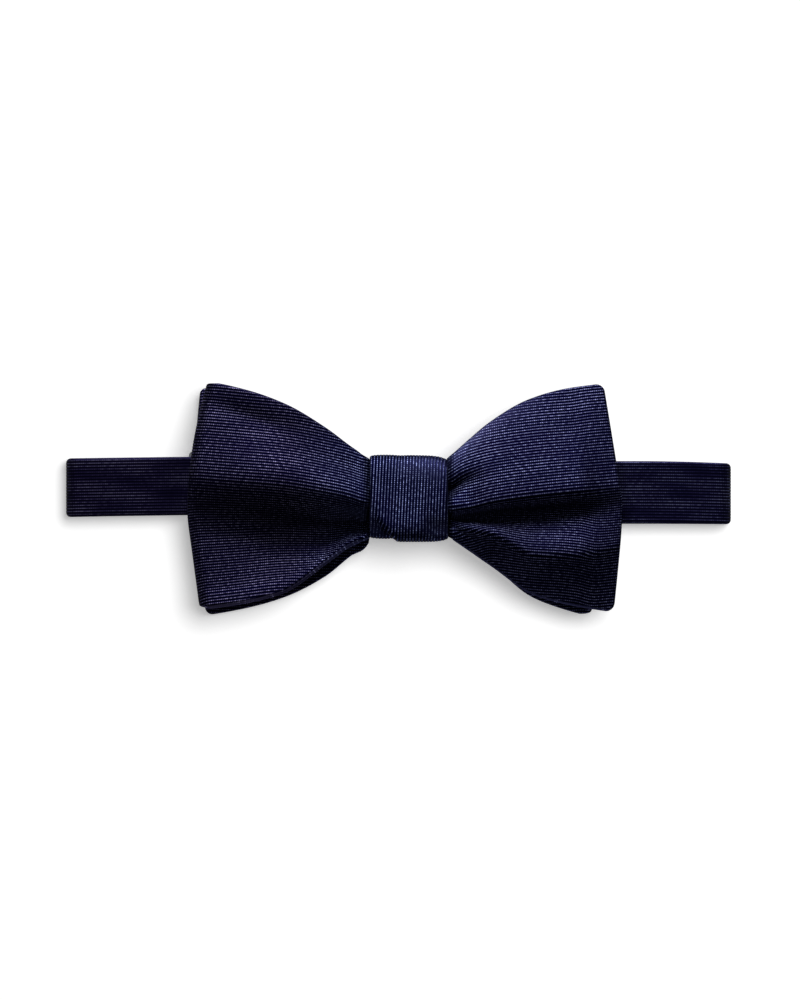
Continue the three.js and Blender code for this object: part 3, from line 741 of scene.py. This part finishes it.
def knot_section(turn):
    """The band from its left edge to its right edge at one place round the knot, the share at which its
    middle rib runs there, and how flat its ribs look, which also paints a sheen on its taut upper right
    and smooths the ribs at its low corners as the shade there does."""
    up = math.cos(turn)
    forward = math.sin(turn)
    upper, lower = max(0, up), max(0, -up)
    in_front, towards_front = max(0, forward), max(0, forward + 0.3)
    roundness = front_roundness if forward > 0 else back_roundness
    reach_z = knot_front_z - knot_waist_z if forward > 0 else knot_waist_z - knot_back_z
    y = half_y * math.copysign(abs(up) ** (2 / roundness), up)
    z = (reach_z - cloth_thick / 2) * math.copysign(abs(forward) ** (2 / roundness), forward)
    if forward > 0:
        z *= (1 - front_lean * y / half_y) / lean_scale

    tuck_x = tuck["x"] - tuck["slope"] * (y + knot_height / 2)
    left_of_tuck = 1 - ramp(knot_x, tuck_x - 0.2, tuck_x + 1.5)
    behind_pleat = tuck["step"] * smooth(lower) * left_of_tuck
    pleat = tuck["depth"] * bump(knot_x - tuck_x, tuck["half_width"]) * lower * towards_front
    hollow = dimple["depth"] * bump(knot_x - dimple["x"], dimple["half_width"]) * upper * towards_front
    right_end = shares**12
    fall = (top_fall * shares + corner_fall * right_end) * smooth(upper)
    rise = low_corners["rise"] * right_end * smooth(lower)
    roll = edge_roll * np.abs(2 * shares - 1) ** 6
    girth = 1 - roll - (hollow + pleat + behind_pleat + fall + rise) / (knot_height / 2)

    low_corner = np.maximum(left_of_tuck, ramp(knot_x, low_corners["from_x"], low_corners["to_x"]))
    low_corner *= ramp(-y, 4.0, 10.0) * in_front
    section_y = knot_centre_y + y * girth
    section_z = knot_waist_z + z * girth - low_corners["depth"] * low_corner
    # A painted sheen lies on the taut top, and the ribs are painted flat at the low corners, which lie in
    # shade.
    top_sheen = top_sheen_strength * ramp(y, 3.0, 10.0) * ramp(knot_x, -6.0, 11.0) * in_front**0.3
    pressed_and_sheen = np.maximum(top_sheen, shaded_corner_flatness * low_corner)
    return np.stack([knot_x, section_y, section_z], 1), 0.5 + rib_lean * y / half_y, pressed_and_sheen


knot_sections = [knot_section(i / sections_around * 2 * math.pi) for i in range(sections_around)]
knot_columns, knot_middle, knot_pressed_and_sheen = zip(*knot_sections)
knot_band = ribbed_cloth(
    "knot_band_silk",
    np.array(knot_columns),
    knot_middle,
    cloth_thick,
    0.14,
    ring=True,
    under_relief=0.0,
    pressed_and_sheen=knot_pressed_and_sheen,
)
knot_band.data.materials.append(bow_silk)
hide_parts("knot_band")
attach(knot_band, "root")

# neck_strap
# The neck strap: a flat tube of the same silk with its ribs along it, fastened into a loop and laid flat.
# It folds over at both ends, and its upper stretch passes through the knot behind the bow. Its two ends
# go through the clasp, turn back and are sewn down.
strap_thick = 1.2
strap_end = 93.4
strap_relief = 0.1
strap_low_z = (strap_thick + strap_relief) / 2
strap_high_z = 6.5
strap_rows = [
    (-strap_end, 3.0, 16.5, strap_high_z),
    (-68, 3.4, 16.4, strap_high_z),
    (-58, 3.5, 16.4, 5.2),
    (-46, 3.4, 16.4, 4.7),
    (-30, 2.8, 16.4, 4.1),
    (-10, 0.9, 14.4, 3.9),
    (20, 0.9, 14.4, 3.9),
    (35, 1.6, 16.8, 4.2),
    (58, 1.7, 17.6, 5.4),
    (68, 1.7, 17.6, strap_high_z),
    (strap_end, 1.3, 17.1, strap_high_z),
]
strap_x, centre_y, width, height = zip(*strap_rows)
strap_centre = curve_through(strap_x, centre_y)
strap_width = curve_through(strap_x, width)
strap_z = curve_through(strap_x, height)
fold_radius = (strap_high_z - strap_low_z) / 2
strap_fold_x = strap_end - strap_low_z - fold_radius
fold_corner = 0.7
clasp_x = -52.0
clasp_z = 2.0
clasp_length = 14.0
clasp_bar = 2.0
bar_from_centre = clasp_length / 2 - clasp_bar
foot_from_bar = 1.2
tail_radius = 1.35
tail_width = 0.97
sewn_z = 1.5 * strap_thick + 0.1
strap_spacing = 1.6
strap_shares = np.linspace(-0.5, 0.5, 120)


def strap_section(x, z, width_share=1.0):
    y = strap_centre(x) + strap_width(x) * width_share * strap_shares
    return np.stack([np.full(len(y), x), y, np.full(len(y), z)], 1)


def strap_stretch(start, end, height_at):
    count = int(abs(end - start) / strap_spacing)
    return [strap_section(x, height_at(x)) for x in np.linspace(start, end, count)]


def strap_fold(side, up):
    """The turn at an end of the flat loop, with its corners a little rounded."""
    sections = []
    for turn in np.linspace(0, math.pi, 18)[1:-1]:
        x = side * (strap_fold_x + fold_radius * math.sin(turn))
        z = strap_low_z + fold_radius * (1 - up * math.cos(turn))
        into_corner = max(0.0, fold_corner - fold_radius * (1 - math.sin(turn)))
        narrower = fold_corner - math.sqrt(fold_corner**2 - into_corner**2)
        sections.append(strap_section(x, z, 1 - 2 * narrower / float(strap_width(x))))
    return sections


def strap_tail(away):
    """The strap's end, from the foot of a clasp bar round it and back, down onto the stretch it is sewn
    to."""
    bar_x = clasp_x + away * bar_from_centre
    over_z = clasp_z + tail_radius
    places = [(0.4, strap_low_z)]
    for turn in np.linspace(0, math.pi, 9):
        places.append((-tail_radius * math.sin(turn), clasp_z - tail_radius * math.cos(turn)))
    for f in np.linspace(0, 1, 7):
        places.append((mix(clasp_bar + 0.3, 6.0, f), mix(over_z, sewn_z, smooth(f))))
    places.append((8.0, sewn_z))
    return [strap_section(bar_x + away * out, z, tail_width) for out, z in places]


left_foot_x = clasp_x - bar_from_centre - foot_from_bar
right_foot_x = clasp_x + bar_from_centre + foot_from_bar
strap_columns = strap_tail(-1)[::-1]
strap_columns += strap_stretch(left_foot_x, -strap_fold_x, lambda x: strap_low_z)
strap_columns += strap_fold(-1, 1)
strap_columns += strap_stretch(-strap_fold_x, strap_fold_x, strap_z)
strap_columns += strap_fold(1, -1)
strap_columns += strap_stretch(strap_fold_x, right_foot_x, lambda x: strap_low_z)
strap_columns += strap_tail(1)
# As on the bow, its base colours paint the ribs' shade in the gaps and their highlights on the crests.
strap_silk = ribbed_silk(
    "strap_silk",
    gap=(0.003, 0.0024, 0.0104),
    flank=(0.0098, 0.0079, 0.031),
    side=(0.034, 0.0295, 0.074),
    crest=(0.107, 0.105, 0.165),
    lustre=0.7,
    gloss=0.55,
    patchy=1.1,
)
neck_strap = ribbed_cloth(
    "neck_strap_silk", np.array(strap_columns), 0.5, strap_thick, strap_relief, under_relief=0.0
)
neck_strap.data.materials.append(strap_silk)
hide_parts("neck_strap")
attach(neck_strap, "root")

# clasp
# The clasp: a plain stamped steel plate with two slots, which joins the strap's ends into a loop. It lies
# behind the left wing.
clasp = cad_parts["clasp"]
steel = bpy.data.materials.new("clasp_metal")
steel.use_nodes = True
steel_shader = steel.node_tree.nodes["Principled BSDF"]
steel_shader.inputs["Base Color"].default_value = (0.5, 0.51, 0.53, 1)
steel_shader.inputs["Metallic"].default_value = 1.0
brushing = add_node(steel.node_tree, "TexNoise")
brushing.inputs["Scale"].default_value = 900
brushed = add_node(steel.node_tree, "MapRange")
brushed.inputs["To Min"].default_value = 0.28
brushed.inputs["To Max"].default_value = 0.45
steel.node_tree.links.new(brushing.outputs["Fac"], brushed.inputs["Value"])
steel.node_tree.links.new(brushed.outputs["Result"], steel_shader.inputs["Roughness"])
clasp.data.materials.clear()
clasp.data.materials.append(steel)

# stage
# The pale surface that the tie lies on, and the camera straight above it. One soft light falls on the
# surface alone, for the tie's shadow, and another rakes across the tie alone, from beyond the bow's top.
floor_mesh = bpy.data.meshes.new("floor")
half_floor = 1.2
corners = [(x * half_floor, y * half_floor, 0) for x, y in ((-1, -1), (1, -1), (1, 1), (-1, 1))]
floor_mesh.from_pydata(corners, [], [(0, 1, 2, 3)])
floor = bpy.data.objects.new("floor", floor_mesh)
bpy.context.scene.collection.objects.link(floor)
paper = bpy.data.materials.new("white_paper")
paper.use_nodes = True
paper_shader = paper.node_tree.nodes["Principled BSDF"]
paper_shader.inputs["Base Color"].default_value = (0.9, 0.9, 0.9, 1)
paper_shader.inputs["Roughness"].default_value = 0.9
paper_shader.inputs["Emission Color"].default_value = (1, 1, 1, 1)
paper_shader.inputs["Emission Strength"].default_value = 0.38
floor.data.materials.append(paper)

sky = bpy.data.worlds.new("studio")
bpy.context.scene.world = sky
sky.use_nodes = True
sky.node_tree.nodes["Background"].inputs["Color"].default_value = (1, 1, 1, 1)
sky.node_tree.nodes["Background"].inputs["Strength"].default_value = 0.12
light_distance = 1.2


def softbox(name, azimuth, elevation, size, energy):
    """A round soft light aimed at the tie. Azimuth is counted from +X towards +Y, in degrees."""
    azimuth, elevation = math.radians(azimuth), math.radians(elevation)
    data = bpy.data.lights.new(name, "AREA")
    data.shape = "DISK"
    data.size = size
    data.energy = energy
    light = bpy.data.objects.new(name, data)
    level = light_distance * math.cos(elevation)
    up = light_distance * math.sin(elevation)
    light.location = (level * math.cos(azimuth), level * math.sin(azimuth), up)
    light.rotation_euler = (math.pi / 2 - elevation, 0, azimuth + math.pi / 2)
    bpy.context.scene.collection.objects.link(light)
    return light


overhead_light = softbox("overhead_light", 42, 65, 0.9, 13)
raking_light = softbox("raking_light", 96, 30, 0.6, 28)
tie_pieces = bpy.data.collections.new("tie")
for tie_piece in (front_bow, back_bow, knot_band, neck_strap, clasp):
    tie_pieces.objects.link(tie_piece)
raking_light.light_linking.receiver_collection = tie_pieces
surface = bpy.data.collections.new("surface")
surface.objects.link(floor)
overhead_light.light_linking.receiver_collection = surface

view_centre = (0.00042, -0.00042)
view_height = 0.280  # the frame's height at the bow
bow_z = 0.010
camera_z = 2.0
sensor = 36
camera_data = bpy.data.cameras.new("camera")
camera_data.sensor_width = sensor
camera_data.lens = sensor * (camera_z - bow_z) / view_height
camera_data.clip_end = 10
camera = bpy.data.objects.new("camera", camera_data)
camera.location = (*view_centre, camera_z)
bpy.context.scene.collection.objects.link(camera)
bpy.context.scene.camera = camera
bpy.context.scene.view_settings.view_transform = "Standard"

bpy.context.view_layer.update()
